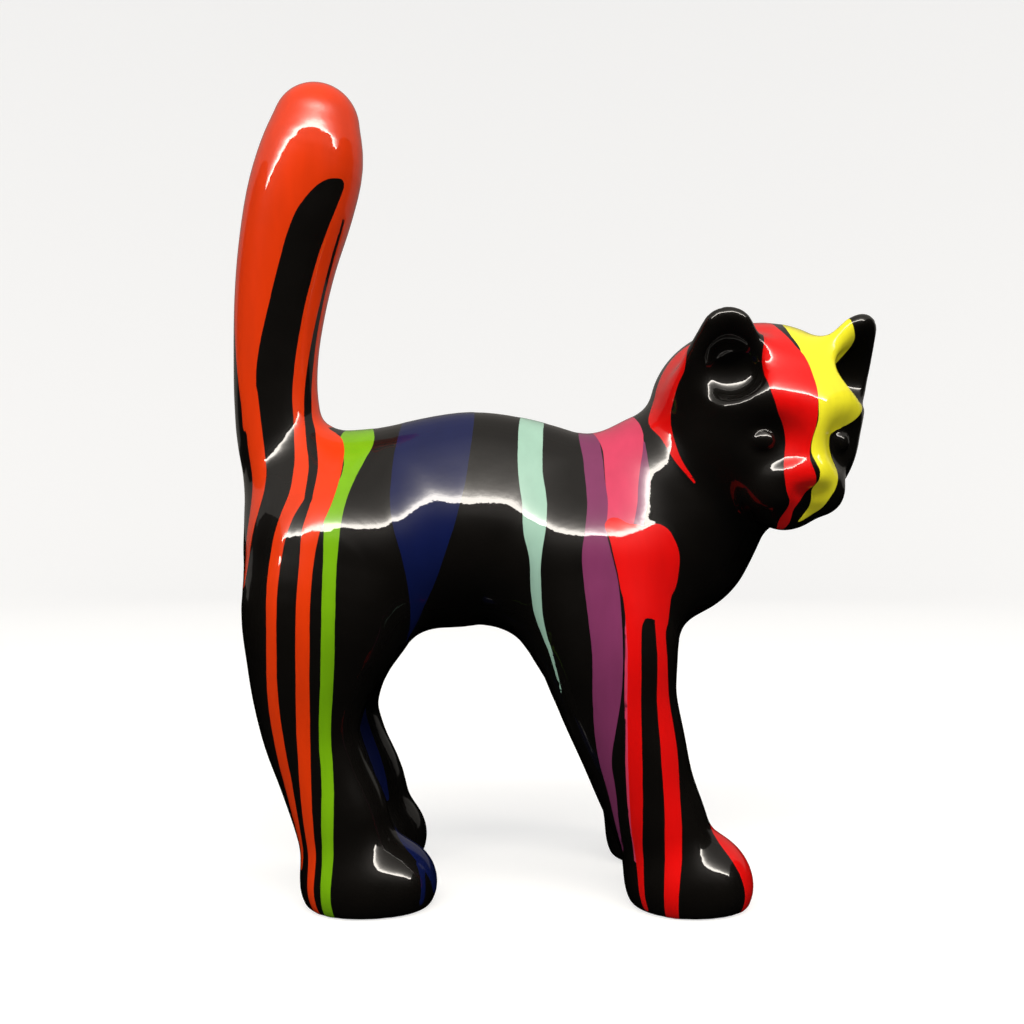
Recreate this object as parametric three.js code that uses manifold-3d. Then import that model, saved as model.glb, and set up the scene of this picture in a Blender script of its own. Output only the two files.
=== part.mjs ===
// A standing cat ornament, cast in resin in one piece: tail up, head turned to the cat's right.
// Millimetres. +X is the way the cat walks, -Y is its right side, +Z is up from the soles.
import * as THREE from 'three';
import { mergeVertices } from 'three/addons/utils/BufferGeometryUtils.js';
import Module from 'manifold-3d';

// Driving dimensions. A station is [x, y, z, radius] of a ball, and a limb is drawn out along its stations.

const bellyStations = [
  [-93.5, 0, 142, 30],
  [-70, 0, 138.5, 33.5],
  [-46, 0, 139.5, 35.5],
  [-31, 0, 140.8, 35.5],
  [-14, 0, 138.5, 35],
  [2, 0, 136.5, 33],
  [18, 0, 136, 30.5],
  [34, 0, 137, 30],
];
const bellySlimness = 1.1;

const spineStations = [
  [-93.5, 0, 158.5, 25],
  [-70, 0, 162, 24],
  [-46, 0, 171.5, 20],
  [-31, 0, 173.3, 19.5],
  [-14, 0, 170.5, 19.5],
  [2, 0, 164, 21],
  [18, 0, 155, 23],
  [34, 0, 151.5, 25],
];
const spineSlimness = 0.95;

const tailStations = [
  [-104, 0, 160, 23],
  [-113, 0, 180, 18.6],
  [-116, 0, 197, 17.1],
  [-116.2, 0, 217, 17.2],
  [-114.5, 0, 238, 18.6],
  [-111.3, 0, 258.5, 20.3],
  [-106.3, 0, 280, 22.1],
  [-102, 0, 297, 21.6],
  [-99.6, 0, 312.2, 17.8],
];

const neckStations = [
  [48, 0, 142, 33],
  [64, -2, 172, 31.5],
  [70.5, -4, 193.5, 31.5],
];

const chest = { centre: [45, 0, 153], radii: [37.5, 33, 41] };

// Legs are given for the left side, with y > 0, and mirrored for the right.
// leftShift and leftToe are how much further forward the left leg and its toes stand.
const hindLeg = {
  stations: [
    [-88, 18, 130, 35],
    [-91, 23, 114, 33.5],
    [-94.6, 28, 97, 27],
    [-96.6, 30, 82, 22.2],
    [-96, 31, 66, 18.6],
    [-91, 31, 50, 17.6],
    [-84, 31, 32, 18.4],
    [-80, 31, 13, 17.8],
  ],
  paw: { centre: [-73.5, 32.5, 7.5], radii: [24.5, 21.5, 17] },
  toes: { centre: [-62.5, 32, 9], radii: [14, 17, 14] },
  leftShift: 0,
  leftToe: -9,
};
const foreLeg = {
  stations: [
    [15, 16, 126, 33],
    [17, 21, 111, 31.3],
    [20, 27, 97, 27],
    [23, 29.5, 80, 23.2],
    [28.6, 31, 62, 20.8],
    [33.8, 31, 45.5, 19],
    [40, 31, 30, 18.2],
    [45.5, 31, 13, 17.6],
  ],
  paw: { centre: [51, 32.5, 7.5], radii: [23, 21.5, 17] },
  toes: { centre: [59.5, 32, 9.5], radii: [14, 17, 15.5] },
  leftShift: -2,
  leftToe: -5,
};

// The head has axes of its own: forward out of the face, left, and up, from the middle of the skull.
const headCentre = [83, -10, 187];
const headTurn = THREE.MathUtils.degToRad(16);
const skull = { centre: [0, 0, 4], radii: [41, 38.2, 37.5] };
const jaw = { centre: [7, -0.8, -9.5], radii: [31, 32.6, 29.6] };
const whiskerPad = { centre: [27.5, 8.5, -27], radii: [11.5, 11.5, 10] };
const muzzle = { centre: [27.5, 0, -22.5], radii: [14.5, 16.5, 9.5] };
const brow = [
  [24, -20, 8.5, 8],
  [30, -10, 3.5, 9.5],
  [31.5, 0, 0.5, 9.5],
  [30, 10, 3.5, 9.5],
  [24, 20, 8.5, 8],
];
const noseBridge = [[33, 0, 4, 8], [32.5, 0, -8, 8], [35.5, 0, -18, 7.5]];
const noseTip = { centre: [38.5, 0, -20], radii: [5.5, 7.5, 5] };
const underNose = { centre: [44.5, 0, -28.5], radii: [6, 7, 3] };
const chin = { centre: [24, -2, -35.5], radii: [9, 9.5, 6.5] };
const eyeSocket = { centre: [44, 18, -7], radii: [9.5, 10, 7] };
const eyeball = { centre: [31.5, 15.5, -8], radii: [5.4, 5.4, 5] };
const earBase = new THREE.Vector3(12, 21.5, 12);
const earTip = new THREE.Vector3(26, 27.5, 33.5);
const earFacing = new THREE.Vector3(0.86, 0.36, -0.3);
const earGirths = [21, 15.8, 10];
const earFlatness = 0.52;
const earHollow = { girths: [12, 8.5], flatness: 0.9, offset: [-1.5, 11.5], startAbove: 4 };

// How widely two forms run into one another, as the reach of the fillet between them.
const fillets = {
  spine: 24, tail: 9, chest: 12, neck: 7, leg: 16, paw: 10, toes: 6, head: 8,
  jaw: 10, pad: 7, brow: 11, muzzle: 5, bridge: 9, noseTip: 4, underNose: 4, chin: 6,
  socket: 10, eyeball: 1, ear: 7, earHollow: 4,
};

// The origin lies on the floor under the middle of the ornament's box.
const centring = 3.4;

// The surface is sampled on a grid that is finer around the head.
const ballsPerSpan = 4;
const steepestTaper = 0.95;
const sampling = {
  x: { from: -154, to: 142, step: 8.8, fineFrom: 42, fineTo: 129, fineStep: 4.8 },
  y: { from: -72, to: 72, step: 5.9 },
  z: { from: -28, to: 346, step: 8.8, fineFrom: 143, fineTo: 233, fineStep: 4.8 },
};
const settlingRounds = 4;
const floorSize = [400, 200, 40];

// Blending of signed distances, which are negative inside a form

function joined(a, b, reach) {
  const h = Math.max(reach - Math.abs(a - b), 0) / reach;
  return Math.min(a, b) - (h * h * reach) / 4;
}

function carved(a, b, reach) {
  return -joined(-a, b, reach);
}

function ellipsoid({ centre, radii }) {
  return (x, y, z) => {
    const u = (x - centre[0]) / radii[0];
    const v = (y - centre[1]) / radii[1];
    const w = (z - centre[2]) / radii[2];
    const near = Math.hypot(u, v, w);
    const slope = Math.hypot(u / radii[0], v / radii[1], w / radii[2]);
    return (near * (near - 1)) / Math.max(slope, 1e-9);
  };
}

// A limb is the hull of each two balls that follow one another along a smooth curve.
// Its slimness is how wide it is in Y for its height.
function limb(stations, slimness = 1) {
  const places = stations.map(([x, y, z]) => new THREE.Vector3(x, y / slimness, z));
  const girths = stations.map((station) => new THREE.Vector3(station[3], 0, 0));
  const path = new THREE.CatmullRomCurve3(places, false, 'catmullrom', 0.5);
  const girth = new THREE.CatmullRomCurve3(girths, false, 'catmullrom', 0.5);
  const count = (stations.length - 1) * ballsPerSpan;
  const links = [];
  for (let i = 0; i < count; i += 1) {
    const from = path.getPoint(i / count);
    const to = path.getPoint((i + 1) / count);
    const r0 = girth.getPoint(i / count).x;
    const r1 = girth.getPoint((i + 1) / count).x;
    const length = from.distanceTo(to);
    const along = to.clone().sub(from).divideScalar(length);
    const taper = THREE.MathUtils.clamp((r0 - r1) / length, -steepestTaper, steepestTaper);
    links.push({ from, along, length, r0, growth: r1 - r0, lean: taper / Math.sqrt(1 - taper * taper) });
  }
  return (x, y, z) => {
    let nearest = Infinity;
    for (const link of links) {
      const px = x - link.from.x;
      const py = y / slimness - link.from.y;
      const pz = z - link.from.z;
      const h = px * link.along.x + py * link.along.y + pz * link.along.z;
      const q = Math.sqrt(Math.max(px * px + py * py + pz * pz - h * h, 0));
      const t = Math.min(Math.max((h - q * link.lean) / link.length, 0), 1);
      nearest = Math.min(nearest, Math.hypot(q, h - t * link.length) - link.r0 - t * link.growth);
    }
    return nearest * Math.min(slimness, 1);
  };
}

// The form of each part of the cat

function leg(spec, side) {
  const shift = side > 0 ? spec.leftShift : 0;
  const toe = side > 0 ? spec.leftToe : 0;
  const { paw, toes } = spec;
  const shank = limb(spec.stations);
  const sole = ellipsoid({
    centre: [paw.centre[0] + toe / 2, paw.centre[1], paw.centre[2]],
    radii: [paw.radii[0] + toe / 2, paw.radii[1], paw.radii[2]],
  });
  const front = ellipsoid({
    centre: [toes.centre[0] + toe, toes.centre[1], toes.centre[2]],
    radii: toes.radii,
  });
  return (x, y, z) => {
    const along = x - shift;
    const out = y * side;
    const foot = joined(shank(along, out, z), sole(along, out, z), fillets.paw);
    return joined(foot, front(along, out, z), fillets.toes);
  };
}

// An ear is a flattened limb that leans out and forward, with a shallow hollow in its front.
function ear() {
  const height = earBase.distanceTo(earTip);
  const up = earTip.clone().sub(earBase).normalize();
  const front = earFacing.clone().addScaledVector(up, -earFacing.dot(up)).normalize();
  const wide = up.clone().cross(front);
  const shell = limb(earGirths.map((girth, i) => [0, 0, (height * i) / 2, girth]), earFlatness);
  const hollow = limb(
    [[0, 0, height / 2 + earHollow.startAbove, earHollow.girths[0]], [0, 0, height, earHollow.girths[1]]],
    earHollow.flatness,
  );
  const offset = new THREE.Vector3();
  return (head, forward, left, rise) => {
    offset.set(forward, left, rise).sub(earBase);
    const u = offset.dot(wide);
    const v = offset.dot(front);
    const w = offset.dot(up);
    const withEar = joined(head, shell(u, v, w), fillets.ear);
    return carved(withEar, hollow(u - earHollow.offset[0], v - earHollow.offset[1], w), fillets.earHollow);
  };
}

function head() {
  const [skullForm, jawForm, padForm, muzzleForm] = [skull, jaw, whiskerPad, muzzle].map(ellipsoid);
  const [tipForm, underForm, chinForm] = [noseTip, underNose, chin].map(ellipsoid);
  const [socketForm, eyeForm] = [eyeSocket, eyeball].map(ellipsoid);
  const [browForm, bridgeForm] = [limb(brow), limb(noseBridge)];
  const addEar = ear();
  const sin = Math.sin(headTurn);
  const cos = Math.cos(headTurn);
  return (x, y, z) => {
    const dx = x - headCentre[0];
    const dy = y - headCentre[1];
    const up = z - headCentre[2];
    const forward = dx * sin - dy * cos;
    const left = dx * cos + dy * sin;
    const side = Math.abs(left);
    let d = joined(skullForm(forward, left, up), jawForm(forward, left, up), fillets.jaw);
    d = joined(d, padForm(forward, side, up), fillets.pad);
    d = joined(d, browForm(forward, left, up), fillets.brow);
    d = joined(d, muzzleForm(forward, left, up), fillets.muzzle);
    d = joined(d, bridgeForm(forward, left, up), fillets.bridge);
    d = joined(d, tipForm(forward, left, up), fillets.noseTip);
    d = carved(d, underForm(forward, left, up), fillets.underNose);
    d = joined(d, chinForm(forward, left, up), fillets.chin);
    d = carved(d, socketForm(forward, side, up), fillets.socket);
    d = joined(d, eyeForm(forward, side, up), fillets.eyeball);
    return addEar(d, forward, side, up);
  };
}

function cat() {
  const belly = limb(bellyStations, bellySlimness);
  const joins = [
    [limb(spineStations, spineSlimness), fillets.spine],
    [limb(tailStations), fillets.tail],
    [ellipsoid(chest), fillets.chest],
    [limb(neckStations), fillets.neck],
    [leg(hindLeg, -1), fillets.leg],
    [leg(foreLeg, -1), fillets.leg],
    [leg(hindLeg, 1), fillets.leg],
    [leg(foreLeg, 1), fillets.leg],
    [head(), fillets.head],
  ];
  return (x, y, z) => joins.reduce((d, [form, reach]) => joined(d, form(x, y, z), reach), belly(x, y, z));
}

// Meshing: one vertex in each grid cell that the surface passes through, and one quad across each grid edge

function gridLines({ from, to, step, fineFrom = to, fineTo = to, fineStep = step }) {
  const lines = [from];
  while (lines.at(-1) < to) {
    const last = lines.at(-1);
    lines.push(last + (last >= fineFrom && last < fineTo ? fineStep : step));
  }
  return lines;
}

// Where the corners of a grid face lie in and out by turns, the surface would touch itself there.
// The corner that is nearest to the surface then counts as lying on its other side.
function clearTouches(values, counts, strides) {
  for (let axis = 0; axis < 3; axis += 1) {
    const across = strides[(axis + 1) % 3];
    const beyond = strides[(axis + 2) % 3];
    const ends = counts.map((count, n) => (n === axis ? count : count - 1));
    for (let i = 0; i < ends[0]; i += 1) {
      for (let j = 0; j < ends[1]; j += 1) {
        for (let k = 0; k < ends[2]; k += 1) {
          const here = i * strides[0] + j * strides[1] + k * strides[2];
          const face = [here, here + across, here + across + beyond, here + beyond];
          const inside = face.map((corner) => values[corner] < 0);
          if (inside[0] !== inside[2] || inside[1] !== inside[3] || inside[0] === inside[1]) continue;
          const nearest = face.reduce((a, b) => (Math.abs(values[a]) <= Math.abs(values[b]) ? a : b));
          values[nearest] = -values[nearest];
        }
      }
    }
  }
}

function surfaceOf(field) {
  const [xs, ys, zs] = [sampling.x, sampling.y, sampling.z].map(gridLines);
  const counts = [xs.length, ys.length, zs.length];
  const strides = [ys.length * zs.length, zs.length, 1];
  const index = (i, j, k) => i * strides[0] + j * strides[1] + k;
  const values = new Float64Array(xs.length * ys.length * zs.length);
  xs.forEach((x, i) => ys.forEach((y, j) => zs.forEach((z, k) => {
    values[index(i, j, k)] = field(x, y, z);
  })));
  clearTouches(values, counts, strides);

  const vertices = [];
  const cellVertex = new Map();
  const corners = [0, 1, 2, 3, 4, 5, 6, 7].map((c) => [c >> 2, (c >> 1) & 1, c & 1]);
  for (let i = 0; i < xs.length - 1; i += 1) {
    for (let j = 0; j < ys.length - 1; j += 1) {
      for (let k = 0; k < zs.length - 1; k += 1) {
        const around = corners.map(([a, b, c]) => values[index(i + a, j + b, k + c)]);
        const inside = around.filter((value) => value < 0).length;
        if (inside === 0 || inside === 8) continue;
        const middle = new THREE.Vector3();
        let crossings = 0;
        corners.forEach((from, a) => corners.forEach((to, b) => {
          const steps = Math.abs(from[0] - to[0]) + Math.abs(from[1] - to[1]) + Math.abs(from[2] - to[2]);
          if (a > b || steps !== 1 || around[a] < 0 === around[b] < 0) return;
          const t = around[a] / (around[a] - around[b]);
          const at = from.map((start, n) => start + t * (to[n] - start));
          middle.x += xs[i] + at[0] * (xs[i + 1] - xs[i]);
          middle.y += ys[j] + at[1] * (ys[j + 1] - ys[j]);
          middle.z += zs[k] + at[2] * (zs[k + 1] - zs[k]);
          crossings += 1;
        }));
        cellVertex.set(index(i, j, k), vertices.length);
        vertices.push(middle.divideScalar(crossings));
      }
    }
  }

  const quads = [];
  for (let axis = 0; axis < 3; axis += 1) {
    const second = (axis + 1) % 3;
    const third = (axis + 2) % 3;
    const place = [0, 0, 0];
    for (place[0] = 1; place[0] < counts[0] - 1; place[0] += 1) {
      for (place[1] = 1; place[1] < counts[1] - 1; place[1] += 1) {
        for (place[2] = 1; place[2] < counts[2] - 1; place[2] += 1) {
          const here = index(...place);
          const startsInside = values[here] < 0;
          const endsInside = values[here + strides[axis]] < 0;
          if (startsInside === endsInside) continue;
          const cells = [
            here - strides[second] - strides[third],
            here - strides[third],
            here,
            here - strides[second],
          ];
          const quad = cells.map((cell) => cellVertex.get(cell));
          quads.push(startsInside ? quad : quad.reverse());
        }
      }
    }
  }
  return { vertices, quads };
}

// Moves each vertex onto the surface along the field's own slope.
function settle(field, vertices) {
  const reach = 0.05;
  const slope = new THREE.Vector3();
  for (let round = 0; round < settlingRounds; round += 1) {
    for (const vertex of vertices) {
      const { x, y, z } = vertex;
      slope.set(
        field(x + reach, y, z) - field(x - reach, y, z),
        field(x, y + reach, z) - field(x, y - reach, z),
        field(x, y, z + reach) - field(x, y, z - reach),
      ).divideScalar(2 * reach);
      vertex.addScaledVector(slope, -field(x, y, z) / Math.max(slope.lengthSq(), 0.1));
    }
  }
}

// Splits each quad along its shorter diagonal, unless two other corners are joined along that line already.
function triangles({ vertices, quads }) {
  const line = (a, b) => Math.min(a, b) * vertices.length + Math.max(a, b);
  const drawn = new Set(quads.flatMap((quad) => quad.map((corner, i) => line(corner, quad[(i + 1) % 4]))));
  const faces = [];
  for (const [a, b, c, d] of quads) {
    const shorter = vertices[a].distanceTo(vertices[c]) <= vertices[b].distanceTo(vertices[d]);
    const fromA = drawn.has(line(b, d)) || (shorter && !drawn.has(line(a, c)));
    drawn.add(fromA ? line(a, c) : line(b, d));
    faces.push(...(fromA ? [a, b, c, a, c, d] : [a, b, d, b, c, d]));
  }
  return faces;
}

// Joining and cutting

const wasm = await Module();
wasm.setup();

function solidFrom(geometry) {
  const bare = geometry.clone();
  bare.deleteAttribute('normal');
  bare.deleteAttribute('uv');
  const merged = mergeVertices(bare);
  const mesh = new wasm.Mesh({
    numProp: 3,
    vertProperties: new Float32Array(merged.attributes.position.array),
    triVerts: new Uint32Array(merged.index.array),
  });
  return new wasm.Manifold(mesh);
}

function geometryFrom(solid) {
  const { vertProperties, triVerts } = solid.getMesh();
  const geometry = new THREE.BufferGeometry();
  geometry.setAttribute('position', new THREE.BufferAttribute(vertProperties, 3));
  geometry.setIndex(new THREE.BufferAttribute(triVerts, 1));
  geometry.computeVertexNormals();
  return geometry;
}

// The casting: the whole cat as one solid, with the four soles cut flat on the floor

function casting() {
  const field = cat();
  const surface = surfaceOf(field);
  settle(field, surface.vertices);
  const form = new THREE.BufferGeometry().setFromPoints(surface.vertices);
  form.setIndex(triangles(surface));
  const floor = new THREE.BoxGeometry(...floorSize).translate(0, 0, -floorSize[2] / 2);
  return geometryFrom(solidFrom(form).subtract(solidFrom(floor)));
}

const glossBlack = new THREE.MeshStandardMaterial({ color: 0x0b0a09, roughness: 0.08, metalness: 0 });
const figure = new THREE.Mesh(casting(), glossBlack);
figure.name = 'cat_figure';
figure.position.x = centring;

const ornament = new THREE.Group();
ornament.name = 'resin_cat';
ornament.add(figure);

export default ornament;
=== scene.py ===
import math
import bpy
import numpy as np
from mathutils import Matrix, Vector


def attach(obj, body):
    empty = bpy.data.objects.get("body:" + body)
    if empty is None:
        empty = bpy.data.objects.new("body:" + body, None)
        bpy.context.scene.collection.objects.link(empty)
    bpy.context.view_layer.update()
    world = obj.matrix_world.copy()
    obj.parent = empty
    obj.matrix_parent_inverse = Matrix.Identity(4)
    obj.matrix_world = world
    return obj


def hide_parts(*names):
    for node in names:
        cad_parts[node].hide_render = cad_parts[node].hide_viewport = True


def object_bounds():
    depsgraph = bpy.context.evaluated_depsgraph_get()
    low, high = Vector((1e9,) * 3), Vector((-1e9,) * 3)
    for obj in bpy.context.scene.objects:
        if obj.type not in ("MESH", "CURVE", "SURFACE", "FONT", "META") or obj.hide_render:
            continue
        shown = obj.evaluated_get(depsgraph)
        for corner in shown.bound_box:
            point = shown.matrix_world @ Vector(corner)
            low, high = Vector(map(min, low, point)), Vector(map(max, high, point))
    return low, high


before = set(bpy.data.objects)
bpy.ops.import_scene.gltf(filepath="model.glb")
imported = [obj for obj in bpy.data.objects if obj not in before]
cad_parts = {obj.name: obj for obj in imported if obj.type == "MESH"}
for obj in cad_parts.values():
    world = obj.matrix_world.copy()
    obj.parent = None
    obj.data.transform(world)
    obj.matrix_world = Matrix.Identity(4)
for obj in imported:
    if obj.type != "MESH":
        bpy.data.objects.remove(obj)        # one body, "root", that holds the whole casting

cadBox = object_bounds()     # the CAD box, before any piece is made
mm = 0.001
print("frame loaded, nodes:", sorted(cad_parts))

# Form of the casting, in millimetres. A station is (x, y, z, radius) of a ball, and a limb runs along them.
# Legs are given for the left side and mirrored: leftShift moves the left one, and leftToe alters its toes.

casting = {
    "centring": 3.4,      # the box's middle lies this far along X from the sculpt's own zero
    "grain": 1.5,     # spacing of the finished mesh
    "soleEdge": 2.0,      # how softly the soles' edges are broken
    "room": ((-145, -66, -8), (138, 66, 338)),     # the box that is searched for the skin
}
belly = {
    "slim": 1.1,
    "stations": [(-93.5, 0, 142, 30), (-70, 0, 138.5, 33.5), (-46, 0, 139.5, 35.5), (-31, 0, 140.8, 35.5),
                 (-14, 0, 138.5, 35), (2, 0, 136.5, 33), (18, 0, 136, 30.5), (34, 0, 137, 30)],
}
spine = {
    "fillet": 24, "slim": 0.95,
    "stations": [(-93.5, 0, 158.5, 25), (-70, 0, 162, 24), (-46, 0, 171.5, 20), (-31, 0, 173.3, 19.5),
                 (-14, 0, 170.5, 19.5), (2, 0, 164, 21), (18, 0, 155, 23), (34, 0, 151.5, 25)],
}
tail = {
    "fillet": 9,
    "stations": [(-104, 0, 160, 23), (-113, 0, 180, 18.6), (-116, 0, 197, 17.1), (-116.2, 0, 217, 17.2),
                 (-114.5, 0, 238, 18.6), (-111.3, 0, 258.5, 20.3), (-106.3, 0, 280, 22.1),
                 (-102, 0, 297, 21.6), (-99.6, 0, 312.2, 17.8)],
}
neck = {
    "fillet": 7,
    "stations": [(48, 0, 142, 33), (64, -2, 172, 31.5), (70.5, -4, 193.5, 31.5)],
}
chest = {"fillet": 12, "centre": (45, 0, 153), "radii": (37.5, 33, 41)}
hindLeg = {
    "fillet": 16,
    "stations": [(-88, 18, 130, 35), (-91, 23, 114, 33.5), (-94.6, 28, 97, 27), (-96.6, 30, 82, 22.2),
                 (-96, 31, 66, 18.6), (-91, 31, 50, 17.6), (-84, 31, 32, 18.4), (-80, 31, 13, 17.8)],
    "paw": (-73.5, 32.5, 7.5), "pawRadii": (24.5, 21.5, 17), "pawFillet": 10,
    "toes": (-62.5, 32, 9), "toeRadii": (14, 17, 14), "toeFillet": 6,
    "leftShift": 0, "leftToe": -9,
}
foreLeg = {
    "fillet": 16,
    "stations": [(15, 16, 126, 33), (17, 21, 111, 31.3), (20, 27, 97, 27), (23, 29.5, 80, 23.2),
                 (28.6, 31, 62, 20.8), (33.8, 31, 45.5, 19), (40, 31, 30, 18.2), (45.5, 31, 13, 17.6)],
    "paw": (51, 32.5, 7.5), "pawRadii": (23, 21.5, 17), "pawFillet": 10,
    "toes": (59.5, 32, 9.5), "toeRadii": (14, 17, 15.5), "toeFillet": 6,
    "leftShift": -2, "leftToe": -5,
}
head = {                  # places here are (forward, left, up) from the middle of the skull
    "fillet": 8,
    "middle": (83, -10, 187), "turn": math.radians(16),
    "reach": 52,          # half the width of a box that holds the head and its ears
    "skull": ((0, 0, 4), (41, 38.2, 37.5)),
    "jaw": ((7, -0.8, -9.5), (31, 32.6, 29.6), 10),
    "whiskerPad": ((27.5, 8.5, -27), (11.5, 11.5, 10), 7),
    "brow": [(24, -20, 8.5, 8), (30, -10, 3.5, 9.5), (31.5, 0, 0.5, 9.5), (30, 10, 3.5, 9.5),
             (24, 20, 8.5, 8)],
    "browFillet": 11,
    "muzzle": ((27.5, 0, -22.5), (14.5, 16.5, 9.5), 5),
    "noseBridge": [(33, 0, 4, 8), (32.5, 0, -8, 8), (35.5, 0, -18, 7.5)], "bridgeFillet": 9,
    "noseTip": ((38.5, 0, -20), (5.5, 7.5, 5), 4),
    "underNose": ((44.5, 0, -28.5), (6, 7, 3), 4),
    "chin": ((24, -2, -35.5), (9, 9.5, 6.5), 6),
    "eyeSocket": ((44, 18, -7), (9.5, 10, 7), 10),
    "eyeball": ((31.2, 15.5, -8), (5.4, 5.4, 5), 1),
}
ears = {
    "base": (12, 21.5, 12), "tip": (26, 27.5, 33.5), "facing": (0.86, 0.36, -0.3),
    "girths": (21, 15.8, 10), "flatness": 0.52, "fillet": 7,
    "hollowGirths": (12, 8.5), "hollowFlatness": 0.9, "hollowOffset": (-1.5, 11.5, 0),
    "hollowStart": 4, "hollowFillet": 4,
}


def join(a, b, reach):    # rounds the valley where two forms meet
    h = np.maximum(reach - np.abs(a - b), 0) / reach
    return np.minimum(a, b) - h * h * reach / 4


def carve(a, b, reach):
    return -join(-a, b, reach)


def egg(p, centre, radii):
    q = (p - np.array(centre)) / np.array(radii)
    near = np.linalg.norm(q, axis=1)
    slope = np.linalg.norm(q / np.array(radii), axis=1)
    return near * (near - 1) / np.maximum(slope, 1e-9)


def curveThrough(stations, perSpan=4):
    s = np.array(stations, float)
    ends = np.vstack([2 * s[0] - s[1], s, 2 * s[-1] - s[-2]])
    t = (np.arange(perSpan) / perSpan)[:, None]
    spans = []
    for p0, p1, p2, p3 in zip(ends, ends[1:], ends[2:], ends[3:]):
        bend = 2 * p0 - 5 * p1 + 4 * p2 - p3
        twist = 3 * p1 - p0 - 3 * p2 + p3
        spans.append(0.5 * (2 * p1 + (p2 - p0) * t + bend * t * t + twist * t ** 3))
    return np.vstack(spans + [s[-1:]])


def alongLinks(p, path):  # distance from a row of balls, each two joined by a cone
    nearest = np.full(len(p), np.inf)
    for a, b in zip(path, path[1:]):
        axis = b[:3] - a[:3]
        length = max(np.linalg.norm(axis), 1e-6)
        axis = axis / length
        taper = np.clip((a[3] - b[3]) / length, -0.95, 0.95)
        off = p - a[:3]
        h = off @ axis
        q = np.sqrt(np.maximum((off * off).sum(1) - h * h, 0))
        t = np.clip((h - q * taper / math.sqrt(1 - taper * taper)) / length, 0, 1)
        nearest = np.minimum(nearest, np.hypot(q, h - t * length) - a[3] - t * (b[3] - a[3]))
    return nearest


def limb(p, stations, slim=1.0):
    squeeze = np.array([1, 1 / slim, 1])
    path = curveThrough(stations)
    path[:, :3] *= squeeze
    return alongLinks(p * squeeze, path) * min(slim, 1.0)


def leg(p, spec, side):
    shift = spec["leftShift"] if side > 0 else 0
    toe = spec["leftToe"] if side > 0 else 0
    q = (p - np.array([shift, 0, 0])) * np.array([1, side, 1])
    sole = egg(q, np.array(spec["paw"]) + (toe / 2, 0, 0), np.array(spec["pawRadii"]) + (toe / 2, 0, 0))
    front = egg(q, np.array(spec["toes"]) + (toe, 0, 0), spec["toeRadii"])
    return join(join(limb(q, spec["stations"]), sole, spec["pawFillet"]), front, spec["toeFillet"])


def addEars(d, q):
    base, tip, facing = (np.array(ears[k], float) for k in ("base", "tip", "facing"))
    height = np.linalg.norm(tip - base)
    up = (tip - base) / height
    front = facing - (facing @ up) * up
    front /= np.linalg.norm(front)
    local = (q - base) @ np.stack([np.cross(up, front), front, up], axis=1)
    outside = [(0, 0, height * i / 2, girth) for i, girth in enumerate(ears["girths"])]
    shell = limb(local, outside, ears["flatness"])
    low, high = ears["hollowGirths"]
    inside = [(0, 0, height / 2 + ears["hollowStart"], low), (0, 0, height, high)]
    hollow = limb(local - np.array(ears["hollowOffset"]), inside, ears["hollowFlatness"])
    return carve(join(d, shell, ears["fillet"]), hollow, ears["hollowFillet"])


def headForm(p):
    off = p - np.array(head["middle"])
    sin, cos = math.sin(head["turn"]), math.cos(head["turn"])
    q = np.stack([off[:, 0] * sin - off[:, 1] * cos, off[:, 0] * cos + off[:, 1] * sin, off[:, 2]], axis=1)
    both = q.copy()
    both[:, 1] = np.abs(both[:, 1])      # the two halves of the face are alike
    d = egg(q, *head["skull"])
    d = join(d, egg(q, *head["jaw"][:2]), head["jaw"][2])
    d = join(d, egg(both, *head["whiskerPad"][:2]), head["whiskerPad"][2])
    d = join(d, limb(q, head["brow"]), head["browFillet"])
    d = join(d, egg(q, *head["muzzle"][:2]), head["muzzle"][2])
    d = join(d, limb(q, head["noseBridge"]), head["bridgeFillet"])
    d = join(d, egg(q, *head["noseTip"][:2]), head["noseTip"][2])
    d = carve(d, egg(q, *head["underNose"][:2]), head["underNose"][2])
    d = join(d, egg(q, *head["chin"][:2]), head["chin"][2])
    d = carve(d, egg(both, *head["eyeSocket"][:2]), head["eyeSocket"][2])
    d = join(d, egg(both, *head["eyeball"][:2]), head["eyeball"][2])
    return addEars(d, both)


farAway = 25              # a form further off than this can't change the surface


def boxed(form, low, high):
    low, high = np.array(low) - farAway, np.array(high) + farAway

    def nearOnly(p):
        d = np.full(len(p), float(farAway))
        k = ((p > low) & (p < high)).all(axis=1)
        if k.any():
            d[k] = form(p[k])
        return d
    return nearOnly


def boxOfStations(stations):
    s = np.array(stations)
    return (s[:, :3] - s[:, 3:]).min(axis=0), (s[:, :3] + s[:, 3:]).max(axis=0)


def boxOfLeg(spec, side):
    low, high = boxOfStations(spec["stations"])
    reach = np.array(spec["toes"]) + np.array(spec["toeRadii"])
    low, high = np.minimum(low, reach), np.maximum(high, reach) + (abs(spec["leftShift"]), 0, 0)
    low = low - (abs(spec["leftShift"]), 0, 12)
    return (low, high) if side > 0 else (low * (1, 0, 1) - (0, high[1], 0), high * (1, 0, 1) - (0, low[1], 0))


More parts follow.
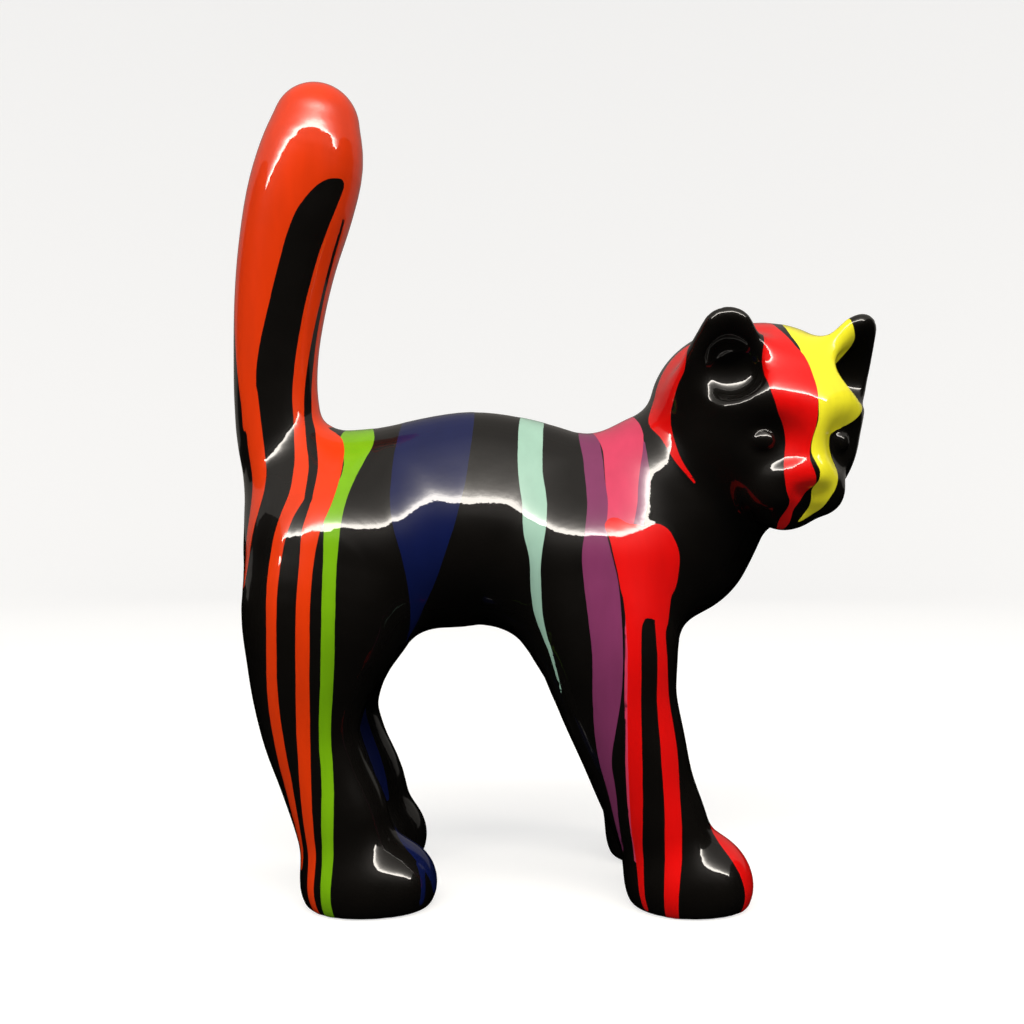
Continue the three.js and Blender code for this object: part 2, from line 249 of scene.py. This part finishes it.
def makeJoins():
    back = boxed(lambda p: limb(p, spine["stations"], spine["slim"]), *boxOfStations(spine["stations"]))
    rear = boxed(lambda p: limb(p, tail["stations"]), *boxOfStations(tail["stations"]))
    breast = boxed(lambda p: egg(p, chest["centre"], chest["radii"]),
                   np.subtract(chest["centre"], chest["radii"]), np.add(chest["centre"], chest["radii"]))
    nape = boxed(lambda p: limb(p, neck["stations"]), *boxOfStations(neck["stations"]))
    joins = [(back, spine["fillet"]), (rear, tail["fillet"]),
             (breast, chest["fillet"]), (nape, neck["fillet"])]
    for side in (-1, 1):
        for spec in (hindLeg, foreLeg):
            form = boxed(lambda p, s=spec, e=side: leg(p, s, e), *boxOfLeg(spec, side))
            joins.append((form, spec["fillet"]))
    middle = np.array(head["middle"])
    joins.append((boxed(headForm, middle - head["reach"], middle + head["reach"]), head["fillet"]))
    return joins


bellyForm = boxed(lambda p: limb(p, belly["stations"], belly["slim"]), *boxOfStations(belly["stations"]))
joins = makeJoins()


def castingForm(p):       # signed distance from the casting's skin, in millimetres
    d = bellyForm(p)
    for form, reach in joins:
        d = join(d, form(p), reach)
    return carve(d, p[:, 2], casting["soleEdge"])


def slopeAt(p, reach=0.05):
    corners = np.array([(1, -1, -1), (-1, -1, 1), (-1, 1, -1), (1, 1, 1)])
    return sum(castingForm(p + reach * c)[:, None] * c for c in corners) / (4 * reach)


def seat(p, rounds=2):    # moves points onto the skin
    for _ in range(rounds):
        g = slopeAt(p)
        p = p - (castingForm(p) / np.maximum((g * g).sum(axis=1), 0.1))[:, None] * g
    return p


def sampleForm(low, high, step, block=4):
    counts = [int(math.ceil((b - a) / (step * block))) for a, b in zip(low, high)]
    corners = np.stack(np.meshgrid(*[np.arange(n) for n in counts], indexing="ij"), axis=-1).reshape(-1, 3)
    centres = np.array(low) + (corners + 0.5) * block * step
    rough = castingForm(centres)
    inner = np.stack(np.meshgrid(*[np.arange(block)] * 3, indexing="ij"), axis=-1).reshape(-1, 3)
    values = np.repeat(rough[:, None], block ** 3, axis=1)
    near = np.flatnonzero(np.abs(rough) < 1.5 * block * step)
    fine = corners[near][:, None] * block + inner
    values[near] = castingForm((np.array(low) + fine * step).reshape(-1, 3)).reshape(len(near), -1)
    grid = values.reshape(*counts, block, block, block).transpose(0, 3, 1, 4, 2, 5)
    return grid.reshape([n * block for n in counts])


def skinOf(grid, low, step):      # one point in each cell the skin crosses, one quad on each crossed edge
    n = grid.shape
    total = np.zeros([k - 1 for k in n] + [3])
    crossings = np.zeros([k - 1 for k in n])
    quads = []
    span = [slice(0, -1), slice(1, None)]
    for axis in range(3):
        others = [(axis + 1) % 3, (axis + 2) % 3]
        start, end = [tuple(span[e] if k == axis else slice(None) for k in range(3)) for e in (0, 1)]
        a, b = grid[start], grid[end]
        crossed = (a < 0) != (b < 0)
        t = np.where(crossed, a / np.where(crossed, a - b, 1), 0)
        for i in (0, 1):
            for j in (0, 1):
                part = [slice(None)] * 3
                part[others[0]], part[others[1]] = span[i], span[j]
                c = crossed[tuple(part)]
                total[..., axis] += np.where(c, t[tuple(part)], 0)
                total[..., others[0]] += c * i
                total[..., others[1]] += c * j
                crossings += c
        edges = np.argwhere(crossed)
        leaving = a[crossed] < 0
        ring = []
        for i, j in ((1, 1), (0, 1), (0, 0), (1, 0)):
            cell = edges.copy()
            cell[:, others[0]] -= i
            cell[:, others[1]] -= j
            ring.append(cell)
        ring = np.stack(ring, axis=1)
        ring[~leaving] = ring[~leaving][:, ::-1]
        quads.append(ring)
    used = crossings > 0
    number = np.full(used.shape, -1)
    number[used] = np.arange(used.sum())
    points = np.array(low) + (np.argwhere(used) + total[used] / crossings[used][:, None]) * step
    cells = np.concatenate(quads)
    return points, number[cells[..., 0], cells[..., 1], cells[..., 2]]


def sculptCasting():
    step = casting["grain"]
    points, quads = skinOf(sampleForm(*casting["room"], step), casting["room"][0], step)
    points = seat(points)
    points[:, 2] = np.maximum(points[:, 2], 0)
    return points, quads


# Poured paint. Each run is a row of (x, y, z, half width) places, laid on the skin, in millimetres.
# The order of the paints is the order of pouring, so a later one lies over an earlier one.

paints = {
    "blue": {"srgb": (10, 20, 66), "runs": [
        [(-48.5, -2, 192, 15), (-48.5, -14, 188, 15), (-50, -31, 174, 14.8), (-51, -39, 162, 13.9),
         (-51.5, -42, 150, 12), (-52, -41, 136, 8.2), (-54, -36, 118, 3.8), (-57, -30, 107, 1.7),
         (-58.5, -28, 101, 0.6)],
        [(-47, 2, 192, 12), (-48, 20, 185, 11), (-49, 36, 166, 9), (-49, 40, 148, 6),
         (-48, 40, 132, 4), (-47, 37, 120, 2.4)],
        [(-62, -24, 29, 4), (-58, -27, 25, 7.5), (-53, -31, 18, 10.5), (-50, -32, 11, 8)],
        [(-54, -41, 17, 1.5), (-53.5, -43, 11, 1.3), (-53.5, -44, 5, 1.1)],
        [(-74, 9, 74, 1.6), (-73.5, 11, 60, 2.6), (-71, 11.5, 42, 2.4), (-69, 12, 30, 1.4)],
    ]},
    "mint": {"srgb": (150, 188, 171), "runs": [
        [(-10, 0, 189, 5), (-10, -18, 186, 5), (-10.4, -31, 173, 4.9), (-9.8, -40, 159, 4.8),
         (-9.9, -42.5, 146, 4.3), (-9.3, -43, 134, 2.3), (-8.8, -42, 121, 2.3), (-7.6, -41, 113, 2),
         (-5, -42, 104, 1.2), (-3, -43, 98, 0.9), (1, -42, 83, 0.5)],
        [(-10, 0, 189, 5), (-9, 18, 186, 4.6), (-9, 32, 173, 3.8), (-9, 41, 156, 3.2),
         (-9.5, 43, 138, 2.6), (-9, 42, 124, 2.6)],
    ]},
    "purple": {"srgb": (118, 49, 90), "runs": [
        [(13, 0, 182, 4), (13.6, -22, 178, 3.9), (14.1, -34, 168, 3.8), (15.2, -42, 158, 4.3),
         (13.7, -47, 146, 4.1), (13.8, -50, 136, 5.6), (15.6, -51, 123, 6.4), (17.4, -53, 100, 5.7),
         (17.4, -51, 82, 5.2), (16.9, -48, 60, 2.9), (20, -45, 45, 1.8), (25, -37, 22, 0.6)],
        [(34.5, -22, 178, 0.8), (33, -35, 165, 2.4), (32, -41, 155, 2.2), (30.5, -43, 147, 2)],
        [(13, 0, 182, 4), (14, 24, 177, 4.2), (15, 40, 160, 4.6), (16, 49, 140, 5),
         (17, 52, 118, 4.2), (17, 52, 98, 3), (18, 50, 80, 2.2), (20, 49, 66, 2.4)],
    ]},
    "pink": {"srgb": (200, 60, 93), "runs": [
        [(26, 0, 184, 9), (26, -19, 181, 8.6), (24.4, -33, 168, 6.6), (24.6, -41, 157, 5.6),
         (23, -46, 147, 5)],
        [(25, -51, 118, 0.9), (24.6, -53, 100, 0.9), (24.7, -53, 76, 0.9), (26, -49, 44, 1),
         (28.4, -44, 20, 1)],
        [(26, 0, 184, 9), (26, 22, 179, 6.5), (27, 38, 162, 5), (28, 46, 143, 3.6),
         (28.5, 50, 124, 2.2), (28.5, 51, 112, 2.2)],
    ]},
    "green": {"srgb": (112, 168, 9), "runs": [
        [(-81, 0, 185, 5), (-80.5, -18, 182, 7), (-80, -27, 176, 4.4), (-81, -36, 169, 2.8),
         (-83.5, -44, 160, 3), (-85.1, -48, 154, 3.6), (-85.2, -52, 144, 2.9),
         (-85.4, -55, 130, 2.5), (-85.8, -56, 102, 2.5), (-86.8, -50, 57, 2.3),
         (-87.1, -49, 30, 2.3), (-86.8, -51, 0, 2.2)],
        [(-81, 0, 185, 5), (-80, 22, 180, 5), (-81, 40, 164, 3.4), (-82, 51, 146, 2.8),
         (-82, 56, 124, 2.4), (-82, 55, 100, 2.2), (-82, 52, 78, 2.6)],
    ]},
    "orange": {"srgb": (216, 54, 3), "cap": {
        "over": [(-99, 0, 318, 34), (-112, 0, 250, 34), (-113, 0, 204, 27)],
        "gaps": [
            [(-87, -15, 284, 2.6), (-90.6, -17, 280.5, 5.2), (-94.5, -18, 275, 6.7),
             (-98.8, -19, 266, 7.5), (-104, -18, 251, 7.3), (-109.3, -17, 231, 7.2),
             (-113, -17, 211, 7.6), (-113.5, -17, 196, 7.2), (-110.5, -26, 172, 7.8)],
            [(-131.5, -5, 234, 0.9), (-131.5, -7, 212, 3), (-130.5, -8, 195, 5),
             (-129.5, -9, 180, 5.5), (-128, -14, 160, 7)],
            [(-107, 20, 272, 2), (-109, 20, 262, 5), (-112, 19, 244, 6.4), (-114, 17, 218, 6.6),
             (-113, 17, 194, 7), (-109, 28, 170, 8)],
            [(-131, 9, 216, 1), (-130, 10, 198, 3), (-128, 12, 178, 4), (-124, 20, 160, 6)],
            [(-97, 8, 214, 1), (-97, 10, 200, 2.2), (-94, 16, 186, 3), (-92, 28, 176, 3)],
        ]},
        "parting": [(-88.5, -7, 272, 0.9), (-95, -6, 240, 1.3), (-101.5, -8, 203, 2.2), (-99.5, -14, 186, 2),
                    (-96, -31, 172, 1.9), (-96, -44, 158, 1.6)],
        "runs": [
            [(-123, -15, 200, 3), (-122, -19, 176, 4.2), (-121, -27, 157, 4.4), (-122, -32, 140, 3.2),
             (-122.5, -34, 124, 1.6)],
            [(-104.3, -12, 200, 2.4), (-102.5, -17, 184, 3), (-100.5, -28, 173, 3.6),
             (-100.8, -40, 162, 4), (-104.4, -45, 151, 3.2), (-107.4, -49, 136, 2.9),
             (-107.6, -53, 108, 2.4), (-107.4, -50, 82, 2.5), (-105.2, -47, 63, 2.4),
             (-100, -42, 34, 2), (-98, -39, 16, 1.2)],
            [(-96, -12, 190, 5), (-92, -20, 181, 6.6), (-90, -33, 172, 5.6), (-90.4, -45, 158, 4.2),
             (-93.5, -51, 145, 3.5), (-94.6, -55, 130, 2.7), (-95.2, -56, 101, 2.6),
             (-95.8, -52, 71, 2.5), (-95.4, -48, 43, 2.3), (-93.5, -46, 16, 2.1), (-92, -47, 0, 1.7)],
            [(-98, 16, 190, 4), (-95, 34, 172, 4.2), (-97, 48, 150, 3.4), (-98, 55, 126, 2.6),
             (-98, 55, 100, 2.4), (-98, 52, 76, 2.2), (-96, 48, 52, 2.6)],
            [(-122, 14, 200, 3), (-118, 26, 172, 3.6), (-116, 40, 148, 3), (-115, 45, 128, 2.4),
             (-114, 45, 106, 2.6)],
            [(-131, 0, 220, 4), (-131, 1, 190, 3.6), (-130, 2, 165, 3.2), (-129, 2, 146, 2.6),
             (-127, 3, 130, 3)],
        ]},
    "yellow": {"srgb": (238, 230, 42), "runs": [
        [(100, 8, 226, 6), (101, -16, 225, 11), (102, -30, 222, 13), (102, -37, 214, 11),
         (103, -40, 206, 12.5), (105.5, -40, 199, 14.5), (104, -46, 192, 11),
         (100.5, -48, 186, 7.3), (98, -48, 178, 6.6), (98.2, -48, 170, 6.8), (99, -47, 162, 4.7),
         (96.7, -43, 154, 2.3), (92, -42, 148, 0.7)],
        [(100, 8, 226, 6), (99, 20, 217, 4.6), (98, 28, 204, 3.4), (97, 30, 190, 2.4),
         (96, 29, 178, 2.6)],
    ]},
    "red": {"srgb": (216, 7, 5), "runs": [
        [(80, 10, 227, 3.4), (81, -14, 228, 4), (81.5, -30, 223, 4.4), (83.6, -42, 215, 6.6),
         (85.3, -47, 208, 8.8), (86.6, -51, 200, 9), (87.8, -52, 193, 7.9), (88.8, -52, 186, 6.3),
         (88.3, -51, 178, 4.7), (87.8, -52, 171, 4.8), (89.3, -52, 163, 5.6), (87.7, -48, 158, 2.7),
         (86.6, -46, 154, 1.5), (85.4, -43, 148, 2.1), (85, -37, 146, 1.2)],
        [(80, 10, 227, 3.4), (79, 22, 218, 3.2), (78, 30, 204, 2.6), (77, 32, 190, 2.8)],
        [(47, -24, 214, 13), (43.5, -22, 202, 10), (42, -21, 193, 7.4), (44, -24, 183, 3),
         (46.5, -30, 173, 1.3), (53, -34, 163, 0.5)],
        [(21.5, -46, 148, 4), (25, -46, 143, 6), (30, -46, 138, 10), (34, -45, 131, 13),
         (34, -46, 124, 12)],
        [(37, -42, 140, 8), (38.5, -42, 134, 9), (38, -43, 127, 9.5)],
        [(30, -48, 120, 7), (28, -50, 114, 4.2), (27.3, -52, 105, 2.9), (27.4, -52, 74, 2.7),
         (28.5, -49, 45, 2.5), (29.8, -45, 24, 1.9), (32, -46, 2, 1.1)],
        [(38.5, -45, 120, 7), (39, -44, 113, 4.4), (38.1, -46, 104, 2.8), (39.2, -46, 74, 3.9),
         (40.9, -47, 59, 4.2), (42, -48, 45, 3.5), (42.4, -49, 26, 3.2), (41.7, -51, 0, 2.5)],
        [(63, -33, 28, 5.5), (68.5, -35, 22, 9.5), (72, -36, 14, 11.5), (72.5, -36, 3, 11)],
        [(34, 46, 142, 7), (36, 46, 132, 9), (36, 47, 122, 7), (34, 49, 112, 4), (33, 51, 96, 2.8),
         (34, 51, 76, 2.6), (37, 50, 56, 3)],
        [(42, 42, 124, 5), (44, 42, 112, 3), (44, 43, 98, 2.4), (43, 45, 86, 2.8)],
    ]},
}
pour = {"thickness": 0.14, "shoulder": 2.6}     # millimetres: the film, and the width of its sloped edge


def runDistance(points, stations, clear=8.0):     # clear stands for anything further off than that
    path = curveThrough(stations, perSpan=6)
    path[:, 3] = np.maximum(path[:, 3], 0.3)
    path[:, :3] = seat(path[:, :3], rounds=3)
    low, high = boxOfStations(path)
    k = ((points > low - clear) & (points < high + clear)).all(axis=1)
    d = np.full(len(points), clear)
    d[k] = alongLinks(points[k], path)
    return d


def paintDistance(points, paint):
    d = np.full(len(points), 60.0)
    if "cap" in paint:
        d = alongLinks(points, curveThrough(paint["cap"]["over"]))
        for gap in paint["cap"]["gaps"]:
            d = np.maximum(d, -runDistance(points, gap))
    for run in paint["runs"]:
        d = np.minimum(d, runDistance(points, run))
    if "parting" in paint:
        d = np.maximum(d, -runDistance(points, paint["parting"]))
    return d


def addFloats(mesh, name, values):
    mesh.attributes.new(name, "FLOAT", "POINT").data.foreach_set("value", values.astype(np.float32))


# Small helpers for nodes

def linear(srgb):
    return tuple((c / 255 / 12.92 if c < 10.3 else ((c / 255 + 0.055) / 1.055) ** 2.4) for c in srgb) + (1.0,)


def addNode(tree, kind, at, **settings):
    node = tree.nodes.new(kind)
    node.location = at
    for key, value in settings.items():
        setattr(node, key, value)
    return node


# Finish of the casting: black resin, poured paint over it, clear lacquer over all

lacquer = {
    "black": (9, 8, 7), "mottle": (15, 13, 11),
    "roughness": (0.3, 0.42), "coatRoughness": 0.025,
    "edge": 0.22,         # millimetres over which a paint's edge fades
    "wander": 0.5,        # how far an edge strays from its line, millimetres
    "peel": 0.016, "ripple": 0.10,
    "mottleScale": 70, "wanderScale": 95, "streakScale": 130, "streakStretch": 0.25,
    "peelScale": 420, "rippleScale": 75,
    "thin": 0.84, "thick": 1.12,     # a paint's tone where it lies thin and thick
    "ior": 1.5, "underGloss": 0.1,
}


def makeLacquer():
    mat = bpy.data.materials.new("lacqueredResin")
    mat.use_nodes = True
    tree = mat.node_tree
    tree.nodes.clear()
    link = tree.links.new
    out = addNode(tree, "ShaderNodeOutputMaterial", (1500, 0))
    shader = addNode(tree, "ShaderNodeBsdfPrincipled", (1200, 0))
    shader.inputs["IOR"].default_value = lacquer["ior"]
    shader.inputs["Specular IOR Level"].default_value = lacquer["underGloss"]
    shader.inputs["Coat Weight"].default_value = 1.0
    shader.inputs["Coat Roughness"].default_value = lacquer["coatRoughness"]
    shader.inputs["Coat IOR"].default_value = lacquer["ior"]
    link(shader.outputs["BSDF"], out.inputs["Surface"])
    where = addNode(tree, "ShaderNodeTexCoord", (-1600, 0))

    mottle = addNode(tree, "ShaderNodeTexNoise", (-1300, 300))
    mottle.inputs["Scale"].default_value = lacquer["mottleScale"]
    mottle.inputs["Detail"].default_value = 4
    link(where.outputs["Object"], mottle.inputs["Vector"])
    black = addNode(tree, "ShaderNodeMix", (-1000, 300), data_type="RGBA")
    black.inputs["A"].default_value = linear(lacquer["black"])
    black.inputs["B"].default_value = linear(lacquer["mottle"])
    link(mottle.outputs["Fac"], black.inputs["Factor"])
    colour = black.outputs["Result"]

    wander = addNode(tree, "ShaderNodeTexNoise", (-1300, -100))
    wander.inputs["Scale"].default_value = lacquer["wanderScale"]
    wander.inputs["Detail"].default_value = 2
    link(where.outputs["Object"], wander.inputs["Vector"])
    stray = addNode(tree, "ShaderNodeMath", (-1100, -100), operation="MULTIPLY_ADD")
    stray.inputs[1].default_value = lacquer["wander"]
    stray.inputs[2].default_value = -lacquer["wander"] / 2
    link(wander.outputs["Fac"], stray.inputs[0])

    streak = addNode(tree, "ShaderNodeMapping", (-1300, -500))     # poured paint varies along its fall
    streak.inputs["Scale"].default_value = (1, 1, lacquer["streakStretch"])
    link(where.outputs["Object"], streak.inputs["Vector"])
    shade = addNode(tree, "ShaderNodeTexNoise", (-1100, -500))
    shade.inputs["Scale"].default_value = lacquer["streakScale"]
    shade.inputs["Detail"].default_value = 3
    link(streak.outputs["Vector"], shade.inputs["Vector"])

    for i, (name, paint) in enumerate(paints.items()):
        distance = addNode(tree, "ShaderNodeAttribute", (-800, -220 * i), attribute_name="paint_" + name)
        edge = addNode(tree, "ShaderNodeMath", (-600, -220 * i), operation="ADD")
        link(distance.outputs["Fac"], edge.inputs[0])
        link(stray.outputs[0], edge.inputs[1])
        cover = addNode(tree, "ShaderNodeMapRange", (-420, -220 * i), interpolation_type="SMOOTHSTEP")
        cover.inputs["From Min"].default_value = lacquer["edge"] / 2
        cover.inputs["From Max"].default_value = -lacquer["edge"] / 2
        link(edge.outputs[0], cover.inputs["Value"])
        tint = addNode(tree, "ShaderNodeMix", (-220, -220 * i - 90), data_type="RGBA")
        full = linear(paint["srgb"])
        tint.inputs["A"].default_value = tuple(lacquer["thin"] * c for c in full[:3]) + (1,)
        tint.inputs["B"].default_value = tuple(min(lacquer["thick"] * c, 1) for c in full[:3]) + (1,)
        link(shade.outputs["Fac"], tint.inputs["Factor"])
        lay = addNode(tree, "ShaderNodeMix", (0, -220 * i), data_type="RGBA")
        link(cover.outputs["Result"], lay.inputs["Factor"])
        link(colour, lay.inputs["A"])
        link(tint.outputs["Result"], lay.inputs["B"])
        colour = lay.outputs["Result"]
    link(colour, shader.inputs["Base Color"])

    gloss = addNode(tree, "ShaderNodeMapRange", (900, -200))
    gloss.inputs["To Min"].default_value, gloss.inputs["To Max"].default_value = lacquer["roughness"]
    link(mottle.outputs["Fac"], gloss.inputs["Value"])
    link(gloss.outputs["Result"], shader.inputs["Roughness"])

    peel = addNode(tree, "ShaderNodeTexNoise", (400, -500))          # orange peel of the sprayed lacquer
    peel.inputs["Scale"].default_value = lacquer["peelScale"]
    peel.inputs["Detail"].default_value = 2
    ripple = addNode(tree, "ShaderNodeTexNoise", (400, -750))        # slow waves left by rubbing down
    ripple.inputs["Scale"].default_value = lacquer["rippleScale"]
    ripple.inputs["Detail"].default_value = 1
    for noise in (peel, ripple):
        link(where.outputs["Object"], noise.inputs["Vector"])
    waves = addNode(tree, "ShaderNodeBump", (650, -700))
    waves.inputs["Strength"].default_value = lacquer["ripple"]
    waves.inputs["Distance"].default_value = 1 * mm
    link(ripple.outputs["Fac"], waves.inputs["Height"])
    skin = addNode(tree, "ShaderNodeBump", (850, -500))
    skin.inputs["Strength"].default_value = lacquer["peel"]
    skin.inputs["Distance"].default_value = 1 * mm
    link(peel.outputs["Fac"], skin.inputs["Height"])
    link(waves.outputs["Normal"], skin.inputs["Normal"])
    link(skin.outputs["Normal"], shader.inputs["Coat Normal"])
    link(skin.outputs["Normal"], shader.inputs["Normal"])
    return mat


# The paint's own body: a nodes tree lifts the skin where paint lies

def makePourTree(material):
    tree = bpy.data.node_groups.new("pouredPaint", "GeometryNodeTree")
    face = tree.interface
    face.new_socket("Geometry", in_out="INPUT", socket_type="NodeSocketGeometry")
    height = face.new_socket("Film thickness", in_out="INPUT", socket_type="NodeSocketFloat")
    finish = face.new_socket("Finish", in_out="INPUT", socket_type="NodeSocketMaterial")
    face.new_socket("Geometry", in_out="OUTPUT", socket_type="NodeSocketGeometry")
    link = tree.links.new
    start = addNode(tree, "NodeGroupInput", (-800, 0))
    film = addNode(tree, "GeometryNodeInputNamedAttribute", (-800, -200), data_type="FLOAT")
    film.inputs["Name"].default_value = "paintFilm"
    normal = addNode(tree, "GeometryNodeInputNormal", (-800, -400))
    rise = addNode(tree, "ShaderNodeMath", (-550, -150), operation="MULTIPLY")
    link(film.outputs["Attribute"], rise.inputs[0])
    link(start.outputs["Film thickness"], rise.inputs[1])
    lift = addNode(tree, "ShaderNodeVectorMath", (-350, -200), operation="SCALE")
    link(normal.outputs["Normal"], lift.inputs["Vector"])
    link(rise.outputs[0], lift.inputs["Scale"])
    place = addNode(tree, "GeometryNodeSetPosition", (-150, 0))
    link(start.outputs["Geometry"], place.inputs["Geometry"])
    link(lift.outputs["Vector"], place.inputs["Offset"])
    real = addNode(tree, "GeometryNodeRealizeInstances", (50, 0))
    link(place.outputs["Geometry"], real.inputs["Geometry"])
    coat = addNode(tree, "GeometryNodeSetMaterial", (250, 0))
    link(real.outputs["Geometry"], coat.inputs["Geometry"])
    link(start.outputs["Finish"], coat.inputs["Material"])
    end = addNode(tree, "NodeGroupOutput", (450, 0))
    link(coat.outputs["Geometry"], end.inputs["Geometry"])
    return tree, {height.identifier: pour["thickness"] * mm, finish.identifier: material}


def bakeNodes(obj, tree, settings):
    modifier = obj.modifiers.new("pouredPaint", "NODES")
    modifier.node_group = tree
    for identifier, value in settings.items():
        modifier[identifier] = value
    baked = bpy.data.meshes.new_from_object(obj.evaluated_get(bpy.context.evaluated_depsgraph_get()))
    obj.modifiers.clear()
    obj.data = baked


def makeFigure():
    points, quads = sculptCasting()
    print("casting sculpted:", len(points), "points,", len(quads), "quads")
    mesh = bpy.data.meshes.new("catFigure")
    mesh.from_pydata(((points + (casting["centring"], 0, 0)) * mm).tolist(), [], quads.tolist())
    film = np.zeros(len(points))
    for name, paint in paints.items():
        d = paintDistance(points, paint)
        addFloats(mesh, "paint_" + name, d)
        film = np.maximum(film, np.clip(0.5 - d / pour["shoulder"], 0, 1))
    addFloats(mesh, "paintFilm", film * film * (3 - 2 * film))
    mesh.polygons.foreach_set("use_smooth", np.ones(len(quads), bool))
    mesh.validate()
    figure = bpy.data.objects.new("catFigure", mesh)
    bpy.context.scene.collection.objects.link(figure)
    print("paint poured:", ", ".join(paints))
    bakeNodes(figure, *makePourTree(makeLacquer()))
    figure.data.name = "catFigure"
    return figure


figure = makeFigure()
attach(figure, "root")
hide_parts("cat_figure")
print("figure finished:", len(figure.data.polygons), "faces")

# Camera: level, close in front of the cat's right flank

camera = {"x": -14.6, "distance": 480, "height": 152, "lens": 40.5, "sensor": 36}     # millimetres
eye = bpy.data.cameras.new("photoCamera")
eye.lens = camera["lens"]
eye.sensor_width = camera["sensor"]
eye.clip_start, eye.clip_end = 0.01, 20
eyeObject = bpy.data.objects.new("photoCamera", eye)
eyeObject.location = (camera["x"] * mm, -camera["distance"] * mm, camera["height"] * mm)
eyeObject.rotation_euler = (math.radians(90), 0, 0)
bpy.context.scene.collection.objects.link(eyeObject)
bpy.context.scene.camera = eyeObject

# Stage: a pale round sweep, flat under the cat and turned up at its rim, that the gloss doesn't mirror

stage = {                 # metres
    "flatRadius": 1.6, "sweep": 0.9, "wall": 1.2, "around": 96, "rings": 6, "bends": 12,
    "pale": (176, 176, 175), "glow": 0.64, "roughness": 0.9, "sheen": 0.1,
}


def makeStage():
    flat, bend = stage["flatRadius"], stage["sweep"]
    profile = [(flat * i / stage["rings"], 0.0) for i in range(1, stage["rings"] + 1)]
    for i in range(1, stage["bends"] + 1):
        a = math.pi / 2 * i / stage["bends"]
        profile.append((flat + bend * math.sin(a), bend * (1 - math.cos(a))))
    profile.append((flat + bend, bend + stage["wall"]))
    n = stage["around"]
    turns = [2 * math.pi * k / n for k in range(n)]
    points = [(r * math.cos(a), r * math.sin(a), z) for r, z in profile for a in turns]
    faces = [list(range(n))]
    for i in range(len(profile) - 1):
        faces += [[i * n + k, i * n + n + k, i * n + n + (k + 1) % n, i * n + (k + 1) % n] for k in range(n)]
    mesh = bpy.data.meshes.new("paleSweep")
    mesh.from_pydata(points, [], faces)
    mesh.polygons.foreach_set("use_smooth", np.ones(len(faces), bool))
    mat = bpy.data.materials.new("palePaper")
    mat.use_nodes = True
    shader = mat.node_tree.nodes["Principled BSDF"]
    shader.inputs["Base Color"].default_value = linear(stage["pale"])
    shader.inputs["Roughness"].default_value = stage["roughness"]
    shader.inputs["Specular IOR Level"].default_value = stage["sheen"]
    shader.inputs["Emission Color"].default_value = (1, 1, 1, 1)
    shader.inputs["Emission Strength"].default_value = stage["glow"]
    mesh.materials.append(mat)
    sweep = bpy.data.objects.new("paleSweep", mesh)
    sweep.visible_glossy = False
    sweep.visible_diffuse = False
    bpy.context.scene.collection.objects.link(sweep)
    return sweep


makeStage()

# Light: long panels bent over the cat like a barrel, brightest along the lower front edge,
# which draws the line of shine

light = {
    "radius": 1.5, "length": 5.0, "warm": (1.0, 0.94, 0.86),
    "glow": [(46, 24), (49.5, 24), (51.5, 10), (54.5, 4), (58, 2), (62, 1.1), (68, 0.65), (80, 0.42),
             (112, 0.3), (150, 0.22), (179, 0.14)],     # rise in degrees, brightness
    "joints": (46, 49.5, 80, 112, 180),
    "widths": (3.5, 1.22, 8, 17),     # degrees: panels grow wider where the glow is even
    "room": 0.3,                      # even light from all round, unseen in the gloss
}


def makeLights():
    middle = (cadBox[0] + cadBox[1]) / 2
    rises, glows = zip(*light["glow"])
    edges = [light["joints"][0]]
    for end, step in zip(light["joints"][1:], light["widths"]):
        edges += list(np.linspace(edges[-1], end, max(round((end - edges[-1]) / step), 1) + 1)[1:])
    for i, (low, high) in enumerate(zip(edges, edges[1:])):
        glow = math.exp(np.interp((low + high) / 2, rises, np.log(glows)))
        rise = math.radians((low + high) / 2)
        width = 2 * light["radius"] * math.tan(math.radians(high - low) / 2)
        data = bpy.data.lights.new("panel" + str(i), "AREA")
        data.shape = "RECTANGLE"
        data.size, data.size_y = light["length"], width
        data.energy = glow * math.pi * light["length"] * width
        data.color = light["warm"]
        panel = bpy.data.objects.new("panel" + str(i), data)
        forward, up = light["radius"] * math.cos(rise), light["radius"] * math.sin(rise)
        panel.location = (middle.x, middle.y - forward, middle.z + up)
        panel.rotation_euler = (math.radians(90) - rise, 0, 0)
        panel.visible_camera = False
        bpy.context.scene.collection.objects.link(panel)


makeLights()
world = bpy.data.worlds.new("paleRoom")
world.use_nodes = True
world.node_tree.nodes["Background"].inputs["Color"].default_value = (1, 1, 1, 1)
world.node_tree.nodes["Background"].inputs["Strength"].default_value = light["room"]
world.cycles_visibility.glossy = False
bpy.context.scene.world = world
bpy.context.scene.view_settings.view_transform = "Standard"
print("stage, lights and camera set")
